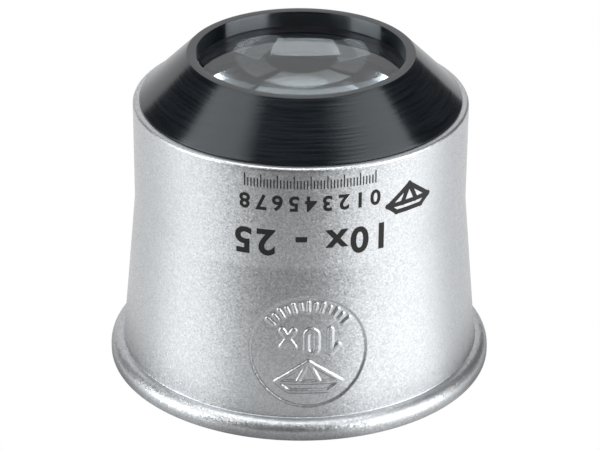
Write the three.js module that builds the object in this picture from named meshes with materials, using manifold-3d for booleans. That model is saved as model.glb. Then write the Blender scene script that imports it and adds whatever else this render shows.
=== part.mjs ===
// Jeweller's eye-cup loupe, 10x: a flared silver cup that is held in the eye socket, and a black
// turned lens cell that screws into its narrow end and carries two plano-convex lenses.
//
// Frame: millimetres, +Z up along the optical axis, origin at the centre of the eye rim's underside.
// The front of the cup, which carries the relief badge, faces -Y.
// Both threads are right-handed: turning the cell by +360 degrees about +Z lifts it by one pitch.

import * as THREE from 'three';
import { mergeVertices } from 'three/addons/utils/BufferGeometryUtils.js';
import Module from 'manifold-3d';

const wasm = await Module();
wasm.setup();

const TURN = 2 * Math.PI;
const SEGMENTS = 48; // facets around every turned piece, and steps per turn of both threads
const FIT = 0.05; // gap left between pieces that rest on each other

// Cup
const RIM_RADIUS = 18.0;
const RIM_BAND_HEIGHT = 0.68;
const BEAD_RADIUS = 1.1;
const RIM_EDGE_ROUND = 0.3;
const RIM_UNDERSIDE_INNER_RADIUS = 15.95;
const FLARE_FOOT_RADIUS = 16.75;
const FLARE_FOOT_Z = 1.8;
const BARREL_RADIUS = 15.42;
const BARREL_START_Z = 16.0;
const CUP_TOP_Z = 26.0;
const CUP_TOP_ROUND = 0.32;
const CUP_WALL = 1.32;
const CUP_THREAD_BOTTOM_Z = 22.3;
const CUP_BORE_LEAD_IN = 0.28;

// Relief badge, sunk into the front of the flare, read with the rim upwards
const BADGE_RADIUS = 5.3;
const BADGE_DEPTH = 0.13;
const BADGE_CENTRE_Z = 8.2;
const BADGE_AZIMUTH = THREE.MathUtils.degToRad(3);
const BADGE_CUT_LENGTH = 4; // how far the cutter reaches to each side of the flare's skin
const BADGE_SEGMENTS = 40;
const BADGE_FLOOR_MARGIN = 1;
const DIGIT_HEIGHT = 2.75;
const DIGIT_BASELINE_Y = -2.35;
const DIGIT_STROKE = 0.5;
const ZERO_WIDTH = 1.45;
const ZERO_CENTRE_X = -0.28;
const ZERO_SEGMENTS = 12;
const ONE_STEM_X = -2.0;
const ONE_FLAG = 0.7;
const TIMES_CENTRE_X = 1.85;
const TIMES_WIDTH = 1.1; // between the middles of its strokes
const TIMES_HEIGHT = 1.6;
const GEM_TOP_Y = 3.85;
const GEM_TABLE_HALF = 1.8;
const GEM_GIRDLE_HALF = 3.0;
const GEM_FACET_HALF = 1.0;
const GEM_CROWN = 0.87;
const GEM_DEPTH = 2.9;
const GEM_STROKE = 0.34;
const TICK_COUNT = 13;
const TICK_RADIUS = 4.45;
const TICK_SPREAD = THREE.MathUtils.degToRad(50); // to each side of the middle tick
const TICK_LENGTHS = [0.8, 0.5]; // by turns, without their square ends
const TICK_WIDTH = 0.3;

// Cell thread
const CELL_PITCH = 1.0;
const CELL_THREAD = { root: 13.5, crest: 13.95, rootHalf: 0.3, crestHalf: 0.07, clearance: 0.12 };
const CELL_THREAD_BOTTOM_Z = 22.6;
const CELL_THREAD_TOP_Z = 25.4;
const THREAD_LEAD_IN = 0.6; // plain core below the thread

// Cell
const CELL_TOP_Z = 30.5;
const CONE_FOOT_RADIUS = 14.82;
const CONE_FOOT_EDGE = 0.1;
const CONE_TOP_RADIUS = 10.44;
const CELL_TOP_EDGE = 0.06;
const WINDOW_RADIUS = 9.6;
const SEAT_Z = 29.02; // underside of the window's lip, where the upper lens rests
const THREAD_RELIEF_RADIUS = 13.2;
const TUBE_RADIUS = 12.3;
const TUBE_BOTTOM_Z = 19.3;
const TUBE_CHAMFER = 0.35;

// Lenses, crown glass, curved faces towards each other, about 25 mm focal length together
const LENS_RADIUS = 10.0;
const UPPER_CURVE_RADIUS = 17.2;
const UPPER_EDGE = 2.0;
const LOWER_CURVE_RADIUS = 52;
const LOWER_EDGE = 1.3;
const LENS_GAP = 0.4; // between the two vertices
const LENS_BORE_RADIUS = LENS_RADIUS + FIT;
const LENS_ARC_STEPS = 7;
const SPACER_INNER_RADIUS = 9.1;

// Threaded ring that holds the lenses in from behind
const RING_PITCH = 0.6;
const RING_THREAD = { root: 10.25, crest: 10.52, rootHalf: 0.16, crestHalf: 0.04, clearance: 0.06 };
const RING_THICKNESS = 1.55;
const RING_INNER_RADIUS = 9.0;
const RING_RELIEF_HEIGHT = 0.45;
const RING_SLOT_WIDTH = 1.2;
const RING_SLOT_DEPTH = 0.8;

// How far a ridge's root is buried in its own core, and how much height is left at a tapered end
const RIDGE_ROOT_DEPTH = 0.12;
const RIDGE_END_HEIGHT = 0.1;
const RIDGE_TAPER = 1 / 6; // length of a tapered end, in turns

const EDGE_STEPS = 3; // facets of a rounded edge
const BEAD_STEPS = 6;
const WELD = 1e-5; // corners closer than this are one

const sag = (curveRadius, radius) => curveRadius - Math.sqrt(curveRadius ** 2 - radius ** 2);
const UPPER_FLAT_Z = SEAT_Z - FIT;
const UPPER_EDGE_Z = UPPER_FLAT_Z - UPPER_EDGE;
const UPPER_VERTEX_Z = UPPER_EDGE_Z - sag(UPPER_CURVE_RADIUS, LENS_RADIUS);
const LOWER_VERTEX_Z = UPPER_VERTEX_Z - LENS_GAP;
const LOWER_EDGE_Z = LOWER_VERTEX_Z - sag(LOWER_CURVE_RADIUS, LENS_RADIUS);
const LOWER_FLAT_Z = LOWER_EDGE_Z - LOWER_EDGE;
const RING_TOP_Z = LOWER_FLAT_Z - FIT;
const RING_BOTTOM_Z = RING_TOP_Z - RING_THICKNESS;

// ---- Turning a profile of [radius, height] pairs, anticlockwise, into a solid ----

function arc(centreRadius, centreHeight, radius, fromDegrees, toDegrees, steps) {
  const points = [];
  for (let i = 0; i <= steps; i += 1) {
    const angle = THREE.MathUtils.degToRad(fromDegrees + ((toDegrees - fromDegrees) * i) / steps);
    points.push([centreRadius + radius * Math.cos(angle), centreHeight + radius * Math.sin(angle)]);
  }
  return points;
}

function turned(profile) {
  const closed = [...profile, profile[0]];
  const points = closed.map(([radius, height]) => new THREE.Vector2(radius, height));
  return new THREE.LatheGeometry(points, SEGMENTS).rotateX(Math.PI / 2);
}

function solidOf(geometry) {
  const bare = geometry.clone();
  bare.deleteAttribute('normal');
  bare.deleteAttribute('uv');
  const merged = mergeVertices(bare, WELD);
  const triangles = [];
  const index = merged.index.array;
  for (let i = 0; i < index.length; i += 3) {
    const [a, b, c] = [index[i], index[i + 1], index[i + 2]];
    if (a !== b && b !== c && c !== a) {
      triangles.push(a, b, c);
    }
  }
  const mesh = new wasm.Mesh({
    numProp: 3,
    vertProperties: new Float32Array(merged.attributes.position.array),
    triVerts: new Uint32Array(triangles),
  });
  return new wasm.Manifold(mesh);
}

function geometryOf(solid) {
  const mesh = solid.getMesh();
  const geometry = new THREE.BufferGeometry();
  geometry.setAttribute('position', new THREE.BufferAttribute(mesh.vertProperties, 3));
  geometry.setIndex(new THREE.BufferAttribute(mesh.triVerts, 1));
  geometry.computeVertexNormals();
  return geometry;
}

// ---- Screw threads ----

// A trapezoid wound along the right-hand helix z = pitch * angle / turn, closed by flat ends.
// A male ridge runs down to its root at both ends. A female one is the cutter for its groove: it is
// wider and taller by the thread's clearance, and runs out at full height.
function helicalRidge(thread, pitch, fromZ, toZ, female) {
  const clearance = female ? thread.clearance : 0;
  const inner = female ? thread.root : thread.root - RIDGE_ROOT_DEPTH;
  const flank = (thread.rootHalf - thread.crestHalf) / (thread.crest - thread.root);
  const halfAt = (radius) => thread.rootHalf - flank * (radius - thread.root) + clearance;
  const firstStep = Math.ceil((fromZ / pitch) * SEGMENTS);
  const lastStep = Math.floor((toZ / pitch) * SEGMENTS);
  const taperSteps = SEGMENTS * RIDGE_TAPER;
  const positions = [];
  for (let step = firstStep; step <= lastStep; step += 1) {
    const fromEnd = Math.min(step - firstStep, lastStep - step) / taperSteps;
    const height = female ? 1 : Math.min(1, Math.max(fromEnd, RIDGE_END_HEIGHT));
    const crest = thread.root + (thread.crest - thread.root) * height + clearance;
    const angle = (step / SEGMENTS) * TURN;
    const middleZ = (step / SEGMENTS) * pitch;
    const corners = [
      [inner, middleZ - halfAt(inner)],
      [crest, middleZ - halfAt(crest)],
      [crest, middleZ + halfAt(crest)],
      [inner, middleZ + halfAt(inner)],
    ];
    for (const [radius, z] of corners) {
      positions.push(radius * Math.cos(angle), radius * Math.sin(angle), z);
    }
  }
  const geometry = new THREE.BufferGeometry();
  geometry.setAttribute('position', new THREE.Float32BufferAttribute(positions, 3));
  geometry.setIndex(sweptQuads(lastStep - firstStep));
  return geometry;
}

// Triangles of a closed sweep of a four-cornered section over `spans` spans.
function sweptQuads(spans) {
  const corners = 4;
  const index = [];
  for (let span = 0; span < spans; span += 1) {
    for (let k = 0; k < corners; k += 1) {
      const a = span * corners + k;
      const b = span * corners + ((k + 1) % corners);
      index.push(a, a + corners, b, b, a + corners, b + corners);
    }
  }
  const last = spans * corners;
  index.push(0, 1, 2, 0, 2, 3);
  index.push(last, last + 2, last + 1, last, last + 3, last + 2);
  return index;
}

// ---- Cup ----

const flareRadiusAt = (z) => {
  const along = (z - FLARE_FOOT_Z) / (BARREL_START_Z - FLARE_FOOT_Z);
  return FLARE_FOOT_RADIUS + (BARREL_RADIUS - FLARE_FOOT_RADIUS) * along;
};

function cupShell() {
  const boreRadius = CELL_THREAD.root + CELL_THREAD.clearance;
  const barrelInner = BARREL_RADIUS - CUP_WALL;
  const flareInner = FLARE_FOOT_RADIUS - CUP_WALL;
  const beadCentre = RIM_RADIUS - BEAD_RADIUS;
  const edge = RIM_EDGE_ROUND;
  const profile = [
    ...arc(RIM_RADIUS - edge, edge, edge, -90, 0, EDGE_STEPS),
    ...arc(beadCentre, RIM_BAND_HEIGHT, BEAD_RADIUS, 0, 90, BEAD_STEPS),
    [FLARE_FOOT_RADIUS, FLARE_FOOT_Z],
    [BARREL_RADIUS, BARREL_START_Z],
    ...arc(BARREL_RADIUS - CUP_TOP_ROUND, CUP_TOP_Z - CUP_TOP_ROUND, CUP_TOP_ROUND, 0, 90, EDGE_STEPS),
    [boreRadius + CUP_BORE_LEAD_IN, CUP_TOP_Z],
    [boreRadius, CUP_TOP_Z - CUP_BORE_LEAD_IN],
    [boreRadius, CUP_THREAD_BOTTOM_Z],
    [barrelInner, CUP_THREAD_BOTTOM_Z - (barrelInner - boreRadius)],
    [barrelInner, BARREL_START_Z],
    [flareInner, FLARE_FOOT_Z],
    ...arc(RIM_UNDERSIDE_INNER_RADIUS, edge, edge, 180, 270, EDGE_STEPS),
  ];
  const groove = helicalRidge(
    CELL_THREAD,
    CELL_PITCH,
    CUP_THREAD_BOTTOM_Z - CELL_PITCH,
    CUP_TOP_Z + CELL_PITCH,
    true,
  );
  return solidOf(turned(profile)).subtract(solidOf(groove));
}

// Badge coordinates: x to the reader's right, y to the reader's up, z out of the flare's skin. The
// reader holds the loupe with its rim upwards, so the badge is upside down on a standing loupe.
function badgeFrame() {
  const slope = Math.atan2(FLARE_FOOT_RADIUS - BARREL_RADIUS, BARREL_START_Z - FLARE_FOOT_Z);
  const radial = new THREE.Vector3(Math.sin(BADGE_AZIMUTH), -Math.cos(BADGE_AZIMUTH), 0);
  const up = new THREE.Vector3(0, 0, 1);
  const outward = radial.clone().multiplyScalar(Math.cos(slope)).addScaledVector(up, Math.sin(slope));
  const readerUp = radial.clone().multiplyScalar(Math.sin(slope)).addScaledVector(up, -Math.cos(slope));
  const readerRight = new THREE.Vector3().crossVectors(readerUp, outward);
  const centre = radial.multiplyScalar(flareRadiusAt(BADGE_CENTRE_Z)).setZ(BADGE_CENTRE_Z);
  return new THREE.Matrix4().makeBasis(readerRight, readerUp, outward).setPosition(centre);
}

function bar([x0, y0], [x1, y1], width) {
  const length = Math.hypot(x1 - x0, y1 - y0) + width;
  const box = new THREE.BoxGeometry(length, width, 2 * BADGE_CUT_LENGTH);
  return box.rotateZ(Math.atan2(y1 - y0, x1 - x0)).translate((x0 + x1) / 2, (y0 + y1) / 2, 0);
}

function digitZero() {
  const centreY = DIGIT_BASELINE_Y + DIGIT_HEIGHT / 2;
  const half = [ZERO_WIDTH / 2, DIGIT_HEIGHT / 2];
  const hole = new THREE.Path();
  hole.absellipse(ZERO_CENTRE_X, centreY, half[0] - DIGIT_STROKE, half[1] - DIGIT_STROKE, 0, TURN, true);
  const ring = new THREE.Shape();
  ring.absellipse(ZERO_CENTRE_X, centreY, half[0], half[1], 0, TURN, false);
  ring.holes.push(hole);
  const options = { depth: 2 * BADGE_CUT_LENGTH, bevelEnabled: false, curveSegments: ZERO_SEGMENTS };
  return new THREE.ExtrudeGeometry(ring, options).translate(0, 0, -BADGE_CUT_LENGTH);
}

function magnificationBars() {
  const inset = DIGIT_STROKE / 2;
  const base = DIGIT_BASELINE_Y + inset;
  const top = DIGIT_BASELINE_Y + DIGIT_HEIGHT - inset;
  const timesTop = base + TIMES_HEIGHT;
  const [left, right] = [TIMES_CENTRE_X - TIMES_WIDTH / 2, TIMES_CENTRE_X + TIMES_WIDTH / 2];
  return [
    bar([ONE_STEM_X, base], [ONE_STEM_X, top], DIGIT_STROKE),
    bar([ONE_STEM_X, top], [ONE_STEM_X - ONE_FLAG, top - ONE_FLAG], DIGIT_STROKE),
    bar([left, base], [right, timesTop], DIGIT_STROKE),
    bar([left, timesTop], [right, base], DIGIT_STROKE),
  ];
}

function gemBars() {
  const girdleY = GEM_TOP_Y - GEM_CROWN;
  const culet = [0, GEM_TOP_Y - GEM_DEPTH];
  const table = [-GEM_TABLE_HALF, GEM_TABLE_HALF].map((x) => [x, GEM_TOP_Y]);
  const girdle = [-GEM_GIRDLE_HALF, GEM_GIRDLE_HALF].map((x) => [x, girdleY]);
  const facets = [-GEM_FACET_HALF, GEM_FACET_HALF].map((x) => [x, girdleY]);
  const strokes = [table, girdle];
  for (const side of [0, 1]) {
    strokes.push([table[side], girdle[side]], [girdle[side], culet], [facets[side], culet]);
  }
  return strokes.map(([from, to]) => bar(from, to, GEM_STROKE));
}

function tickBars() {
  const ticks = [];
  for (let i = 0; i < TICK_COUNT; i += 1) {
    const angle = -TURN / 4 + TICK_SPREAD * ((2 * i) / (TICK_COUNT - 1) - 1);
    const at = (radius) => [radius * Math.cos(angle), radius * Math.sin(angle)];
    const half = TICK_LENGTHS[i % TICK_LENGTHS.length] / 2;
    ticks.push(bar(at(TICK_RADIUS - half), at(TICK_RADIUS + half), TICK_WIDTH));
  }
  return ticks;
}

// The badge is a shallow round recess whose floor follows the flare. Its figures stay at full height.
function badgeCutter() {
  const frame = badgeFrame();
  const disc = new THREE.CylinderGeometry(BADGE_RADIUS, BADGE_RADIUS, 2 * BADGE_CUT_LENGTH, BADGE_SEGMENTS);
  const reach = BADGE_RADIUS + BADGE_FLOOR_MARGIN;
  const [lowZ, highZ] = [BADGE_CENTRE_Z - reach, BADGE_CENTRE_Z + reach];
  const floor = turned([
    [0, lowZ],
    [flareRadiusAt(lowZ) - BADGE_DEPTH, lowZ],
    [flareRadiusAt(highZ) - BADGE_DEPTH, highZ],
    [0, highZ],
  ]);
  let cutter = solidOf(disc.rotateX(Math.PI / 2).applyMatrix4(frame)).subtract(solidOf(floor));
  for (const figure of [...magnificationBars(), digitZero(), ...gemBars(), ...tickBars()]) {
    cutter = cutter.subtract(solidOf(figure.applyMatrix4(frame)));
  }
  return cutter;
}

const housing = () => geometryOf(cupShell().subtract(badgeCutter()));

// ---- Lens cell ----

function lensMount() {
  const ringBore = RING_THREAD.root + RING_THREAD.clearance;
  const ringRelief = RING_THREAD.crest + RING_THREAD.clearance;
  const flangeZ = CUP_TOP_Z + FIT;
  const coneFootZ = flangeZ + CONE_FOOT_EDGE;
  const edge = CELL_TOP_EDGE;
  const threadChamfer = CELL_THREAD.root - THREAD_RELIEF_RADIUS;
  const profile = [
    [ringBore + TUBE_CHAMFER, TUBE_BOTTOM_Z],
    [TUBE_RADIUS - TUBE_CHAMFER, TUBE_BOTTOM_Z],
    [TUBE_RADIUS, TUBE_BOTTOM_Z + TUBE_CHAMFER],
    [TUBE_RADIUS, CELL_THREAD_BOTTOM_Z - THREAD_LEAD_IN],
    [THREAD_RELIEF_RADIUS, CELL_THREAD_BOTTOM_Z - THREAD_LEAD_IN],
    [CELL_THREAD.root, CELL_THREAD_BOTTOM_Z - THREAD_LEAD_IN + threadChamfer],
    [CELL_THREAD.root, CELL_THREAD_TOP_Z],
    [THREAD_RELIEF_RADIUS, CELL_THREAD_TOP_Z + threadChamfer / 2],
    [THREAD_RELIEF_RADIUS, flangeZ],
    [CONE_FOOT_RADIUS, flangeZ],
    [CONE_FOOT_RADIUS, coneFootZ],
    [CONE_TOP_RADIUS, CELL_TOP_Z - edge],
    [CONE_TOP_RADIUS - edge, CELL_TOP_Z],
    [WINDOW_RADIUS + edge, CELL_TOP_Z],
    [WINDOW_RADIUS, CELL_TOP_Z - edge],
    [WINDOW_RADIUS, SEAT_Z],
    [LENS_BORE_RADIUS, SEAT_Z],
    [LENS_BORE_RADIUS, RING_TOP_Z],
    [ringRelief, RING_TOP_Z],
    [ringRelief, RING_TOP_Z - RING_RELIEF_HEIGHT],
    [ringBore, RING_TOP_Z - RING_RELIEF_HEIGHT],
    [ringBore, TUBE_BOTTOM_Z + TUBE_CHAMFER],
  ];
  const thread = helicalRidge(CELL_THREAD, CELL_PITCH, CELL_THREAD_BOTTOM_Z, CELL_THREAD_TOP_Z, false);
  const groove = helicalRidge(
    RING_THREAD,
    RING_PITCH,
    TUBE_BOTTOM_Z - RING_PITCH,
    RING_TOP_Z - RING_RELIEF_HEIGHT / 2,
    true,
  );
  const body = solidOf(turned(profile)).add(solidOf(thread));
  return geometryOf(body.subtract(solidOf(groove)));
}

function retainingRing() {
  const ring = turned([
    [RING_INNER_RADIUS, RING_BOTTOM_Z],
    [RING_THREAD.root, RING_BOTTOM_Z],
    [RING_THREAD.root, RING_TOP_Z],
    [RING_INNER_RADIUS, RING_TOP_Z],
  ]);
  const margin = RING_THREAD.rootHalf + FIT;
  const thread = helicalRidge(
    RING_THREAD,
    RING_PITCH,
    RING_BOTTOM_Z + margin,
    RING_TOP_Z - RING_RELIEF_HEIGHT / 2,
    false,
  );
  const slots = new THREE.BoxGeometry(4 * RING_THREAD.crest, RING_SLOT_WIDTH, 2 * RING_SLOT_DEPTH);
  slots.translate(0, 0, RING_BOTTOM_Z);
  return geometryOf(solidOf(ring).add(solidOf(thread)).subtract(solidOf(slots)));
}

// ---- Lenses and their spacer ----

// `flatZ` is the flat face, `edgeZ` the other end of the cylindrical edge, where the curve starts.
function planoConvexLens(flatZ, edgeZ, curveRadius) {
  const bulge = Math.sign(edgeZ - flatZ);
  const curve = [];
  for (let i = 0; i <= LENS_ARC_STEPS; i += 1) {
    const radius = LENS_RADIUS * (1 - i / LENS_ARC_STEPS);
    curve.push([radius, edgeZ + bulge * (sag(curveRadius, LENS_RADIUS) - sag(curveRadius, radius))]);
  }
  const profile = [[0, flatZ], [LENS_RADIUS, flatZ], ...curve];
  return geometryOf(solidOf(turned(bulge > 0 ? profile : profile.reverse())));
}

function spacerRing() {
  const seatDrop = (curveRadius) =>
    sag(curveRadius, LENS_RADIUS) - sag(curveRadius, SPACER_INNER_RADIUS) + FIT / 2;
  const top = UPPER_EDGE_Z - seatDrop(UPPER_CURVE_RADIUS);
  const bottom = LOWER_EDGE_Z + seatDrop(LOWER_CURVE_RADIUS);
  const ring = turned([
    [SPACER_INNER_RADIUS, bottom],
    [LENS_RADIUS, bottom],
    [LENS_RADIUS, top],
    [SPACER_INNER_RADIUS, top],
  ]);
  return geometryOf(solidOf(ring));
}

// ---- Materials and assembly ----

const opaque = (color, roughness, metalness) =>
  new THREE.MeshStandardMaterial({ color, roughness, metalness });
const silverPaint = () => opaque(0xc4c7ca, 0.38, 0.7);
const blackAnodised = () => opaque(0x16181b, 0.3, 0.6);
const mattBlack = () => opaque(0x101112, 0.75, 0.2);
const crownGlass = () => new THREE.MeshStandardMaterial({
  color: 0xe8f0ee,
  roughness: 0.02,
  metalness: 0,
  transparent: true,
  opacity: 0.35,
});

function piece(name, geometry, material) {
  const mesh = new THREE.Mesh(geometry, material);
  mesh.name = name;
  return mesh;
}

const loupe = new THREE.Group();
loupe.add(
  piece('housing', housing(), silverPaint()),
  piece('lens_mount', lensMount(), blackAnodised()),
  piece('upper_lens', planoConvexLens(UPPER_FLAT_Z, UPPER_EDGE_Z, UPPER_CURVE_RADIUS), crownGlass()),
  piece('spacer_ring', spacerRing(), mattBlack()),
  piece('lower_lens', planoConvexLens(LOWER_FLAT_Z, LOWER_EDGE_Z, LOWER_CURVE_RADIUS), crownGlass()),
  piece('retaining_ring', retainingRing(), mattBlack()),
);

export default loupe;
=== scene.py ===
"""Looks of the jeweller's eye loupe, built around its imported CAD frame.

Every CAD piece is rebuilt here as a fine mesh on the frame's own dimensions: the cup with its relief
badge, the black lens cell with its threads, two lenses, the spacer and the retaining ring. The print on
the barrel is thin ink shapes. Lengths are in millimetres until a mesh is made, then metres.
"""

import math
from functools import cache

import bmesh
import bpy
import numpy as np
from mathutils import Matrix, Vector


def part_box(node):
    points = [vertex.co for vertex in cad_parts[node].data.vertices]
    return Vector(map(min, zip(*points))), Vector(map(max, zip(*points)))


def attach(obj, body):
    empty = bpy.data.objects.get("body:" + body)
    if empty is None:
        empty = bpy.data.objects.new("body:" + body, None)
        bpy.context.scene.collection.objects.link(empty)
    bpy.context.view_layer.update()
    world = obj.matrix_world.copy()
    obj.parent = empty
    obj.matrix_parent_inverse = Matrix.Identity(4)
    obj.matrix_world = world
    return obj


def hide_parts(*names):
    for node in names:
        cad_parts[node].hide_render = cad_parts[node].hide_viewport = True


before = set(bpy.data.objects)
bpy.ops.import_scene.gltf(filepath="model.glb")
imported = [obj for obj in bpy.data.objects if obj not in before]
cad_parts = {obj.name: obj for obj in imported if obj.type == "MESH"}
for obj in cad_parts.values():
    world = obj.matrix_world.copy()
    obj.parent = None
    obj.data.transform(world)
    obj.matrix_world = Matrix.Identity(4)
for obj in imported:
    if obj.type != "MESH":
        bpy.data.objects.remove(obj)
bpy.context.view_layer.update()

MM = 0.001
TURN = 2 * math.pi


def box_mm(node):
    low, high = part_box(node)
    return low / MM, high / MM


# ---- Dimensions taken from the frame ----

CUP_LOW, CUP_HIGH = box_mm("housing")
MOUNT_LOW, MOUNT_HIGH = box_mm("lens_mount")
UPPER_LOW, UPPER_HIGH = box_mm("upper_lens")
LOWER_LOW, LOWER_HIGH = box_mm("lower_lens")
SPACER_LOW, SPACER_HIGH = box_mm("spacer_ring")
RING_LOW, RING_HIGH = box_mm("retaining_ring")

RIM_RADIUS = CUP_HIGH.x
CUP_TOP = CUP_HIGH.z
CONE_FOOT_RADIUS = MOUNT_HIGH.x
CELL_TOP = MOUNT_HIGH.z
TUBE_BOTTOM = MOUNT_LOW.z
LENS_RADIUS = UPPER_HIGH.x
RING_RADIUS = RING_HIGH.x

# ---- Dimensions of the cup, in millimetres ----

BEAD_RADIUS = 1.1
BEAD_TOP = 1.78
RIM_EDGE = 0.3
RIM_INNER_RADIUS = 15.65
FLARE_FOOT = (16.75, 1.8)
FLARE_FOOT_FILLET = 0.12
FLARE_INNER_FILLET = 0.8
BARREL_RADIUS = 15.42
KINK_Z = 16.2
KINK_BLEND = 7.0
CUP_WALL = 1.32
CUP_TOP_EDGE = 0.32
CELL_BORE = 13.62
CELL_BORE_BOTTOM = 22.3
CELL_BORE_EDGE = 0.04
CELL_BORE_FOOT_FILLET = 0.2
BORE_LEAD_IN = 0.28

BADGE_ANGLE = math.radians(-87)
BADGE_Z = 8.2
BADGE_RADIUS = 5.3
BADGE_DEPTH = 0.13
BADGE_EDGE = 0.085
BADGE_RIM_EDGE = 0.13
BADGE_MARGIN = 0.4

# ---- Dimensions of the threads ----
# THREAD_RIDGE is half a ridge's width at its root and THREAD_FLANK the width of its slope, in pitches.

THREAD_RIDGE = 0.30
THREAD_FLANK = 0.23
CELL_PITCH = 1.0
CELL_ROOT = 13.5
CELL_THREAD_DEPTH = 0.45
CELL_THREAD_SPAN = (22.6, 25.4)
CELL_THREAD_FADE = 0.12
RING_PITCH = 0.6
RING_THREAD_DEPTH = 0.27
RING_THREAD_FADE = 0.05
RING_THREAD_INSET = (0.12, 0.25)
BORE_THREAD_FADE = 0.01

# ---- Dimensions of the lens cell and what it holds ----

CONE_FOOT_EDGE = 0.1
CONE_TOP_RADIUS = 10.44
WINDOW_RADIUS = 9.6
TUBE_RADIUS = 12.3
TUBE_CHAMFER = 0.35
FINE_EDGE = 0.02
TURNED_EDGE = 0.03
SOFT_EDGE = 0.05
CONE_TOP_FILLET = 0.06
SHOULDER_FILLET = 0.1
THREAD_RELIEF = 13.2
THREAD_SHOULDER = 0.6
THREAD_LEAD_IN = 0.3
THREAD_RUN_OUT = 0.15
RING_BORE_PLAY = 0.06
RING_BORE_RELIEF = 0.45
RING_INNER_RADIUS = 9.0
RING_INNER_EDGE = 0.06
RING_OUTER_EDGE = 0.04
RING_SLOT = (1.2, 0.8)
SPACER_INNER_RADIUS = 9.1
SPACER_EDGE = 0.05
SPACER_LAND = 0.1
SPACER_GROOVE = (0.3, 0.12)
UPPER_EDGE = 2.0
LOWER_EDGE = 1.3
LENS_CHAMFER = 0.12
FIT = 0.05

# ---- Fineness of the meshes: lengths in millimetres, angles in radians ----

NEAR = 0.01
WELD = 2e-4
SLIVER = 1e-5
FILLET_STEPS = 5
CUP_FILLET_STEPS = 8
COARSE_STEP = math.radians(2.5)
PLAIN_GRID = 0.6
BADGE_GRID = 0.065
CELL_THREAD_GRID = 0.06
CORE_THREAD_GRID = 0.045
RING_THREAD_GRID = 0.04
RING_SWEEP_STEPS = 66
SLOT_STEPS = 8
SLOT_WALL = 1e-4
LENS_STEPS = 40
SHARP_DEGREES = 40
INK_SHARP_DEGREES = 30

# ---- Profiles and turned meshes ----


def filleted(corners, steps=FILLET_STEPS):
    """Rounds a closed outline of (radius, height, fillet) corners; a fillet of 0 stays sharp."""
    outline = []
    count = len(corners)
    for i, (r, z, fillet) in enumerate(corners):
        here = Vector((r, z))
        before = Vector(corners[i - 1][:2]) - here
        after = Vector(corners[(i + 1) % count][:2]) - here
        if fillet <= 0:
            outline.append((r, z))
            continue
        before.normalize()
        after.normalize()
        half = before.angle(after) / 2
        reach = fillet / math.tan(half)
        centre = here + (before + after).normalized() * (fillet / math.sin(half))
        start = here + before * reach - centre
        swing = start.angle_signed(here + after * reach - centre)
        for k in range(steps + 1):
            arm = start.copy()
            arm.rotate(Matrix.Rotation(-swing * k / steps, 2))
            outline.append(tuple(centre + arm))
    return outline


def refined(outline, spacing):
    """Splits each span of a closed outline to the length that spacing(r, z) allows at its middle."""
    fine = []
    for (r0, z0), (r1, z1) in zip(outline, outline[1:] + outline[:1]):
        limit = spacing((r0 + r1) / 2, (z0 + z1) / 2)
        parts = max(1, math.ceil(math.hypot(r1 - r0, z1 - z0) / limit))
        for k in range(parts):
            fine.append((r0 + (r1 - r0) * k / parts, z0 + (z1 - z0) * k / parts))
    return fine


def round_steps():
    """Even steps round the axis."""
    count = round(TURN / COARSE_STEP)
    return [TURN * k / count for k in range(count)]


def turned(name, outline, angles=None, shape=None, closed=True, second=None):
    """Revolves an anticlockwise outline about Z; shape(r, z, angle) may displace the arrays of points.

    Faces for which second(r, z) is true use the second material."""
    angles = np.array(angles if angles is not None else round_steps())
    r, z = (np.tile(axis, (len(angles), 1)) for axis in np.array(outline, float).T)
    a = np.tile(angles[:, None], (1, len(outline)))
    if shape:
        r, z = shape(r, z, a)
    points = np.stack([r * np.cos(a), r * np.sin(a), z], axis=-1).reshape(-1, 3) * MM
    rows = len(outline)
    spans = rows if closed else rows - 1
    faces = []
    for j in range(len(angles)):
        here, there = j * rows, (j + 1) % len(angles) * rows
        for i in range(spans):
            k = (i + 1) % rows
            faces.append((here + i, there + i, there + k, here + k))
    mesh = bpy.data.meshes.new(name)
    mesh.from_pydata(points.tolist(), [], faces)
    if second:
        middles = [np.add(outline[i], outline[(i + 1) % rows]) / 2 for i in range(spans)]
        slots = [int(second(*middle)) for middle in middles]
        mesh.polygons.foreach_set("material_index", slots * len(angles))
    return finished(name, mesh)


def finished(name, mesh, sharp_degrees=SHARP_DEGREES):
    """Cleans a mesh, sets its shading and links it as an object of that name."""
    work = bmesh.new()
    work.from_mesh(mesh)
    bmesh.ops.remove_doubles(work, verts=work.verts, dist=WELD * MM)
    bmesh.ops.dissolve_degenerate(work, edges=work.edges, dist=SLIVER * MM)
    bmesh.ops.recalc_face_normals(work, faces=work.faces)
    work.to_mesh(mesh)
    work.free()
    mesh.polygons.foreach_set("use_smooth", [True] * len(mesh.polygons))
    mesh.set_sharp_from_angle(angle=math.radians(sharp_degrees))
    piece = bpy.data.objects.new(name, mesh)
    bpy.context.scene.collection.objects.link(piece)
    return piece


def smoothstep(low, high, x):
    """Rises smoothly from 0 at low to 1 at high."""
    t = np.clip((x - low) / (high - low), 0, 1)
    return t * t * (3 - 2 * t)


def thread_height(z, angle, pitch, span, fade):
    """Height of a right-hand thread, 0 at its root and 1 at its crest, fading at both ends of span."""
    low, high = span
    phase = np.mod(z / pitch - angle / TURN + 0.5, 1.0) - 0.5
    ridge = np.clip((THREAD_RIDGE - np.abs(phase)) / THREAD_FLANK, 0, 1)
    return ridge * smoothstep(low, low + fade, z) * (1 - smoothstep(high - fade, high, z))


# ---- Badge relief, as distances in the badge's own plane ----


def to_segment(x, y, start, end):
    """Distance to a straight line between two points."""
    sx, sy = start
    dx, dy = end[0] - sx, end[1] - sy
    along = np.clip(((x - sx) * dx + (y - sy) * dy) / (dx * dx + dy * dy), 0, 1)
    return np.hypot(x - sx - along * dx, y - sy - along * dy)


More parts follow.
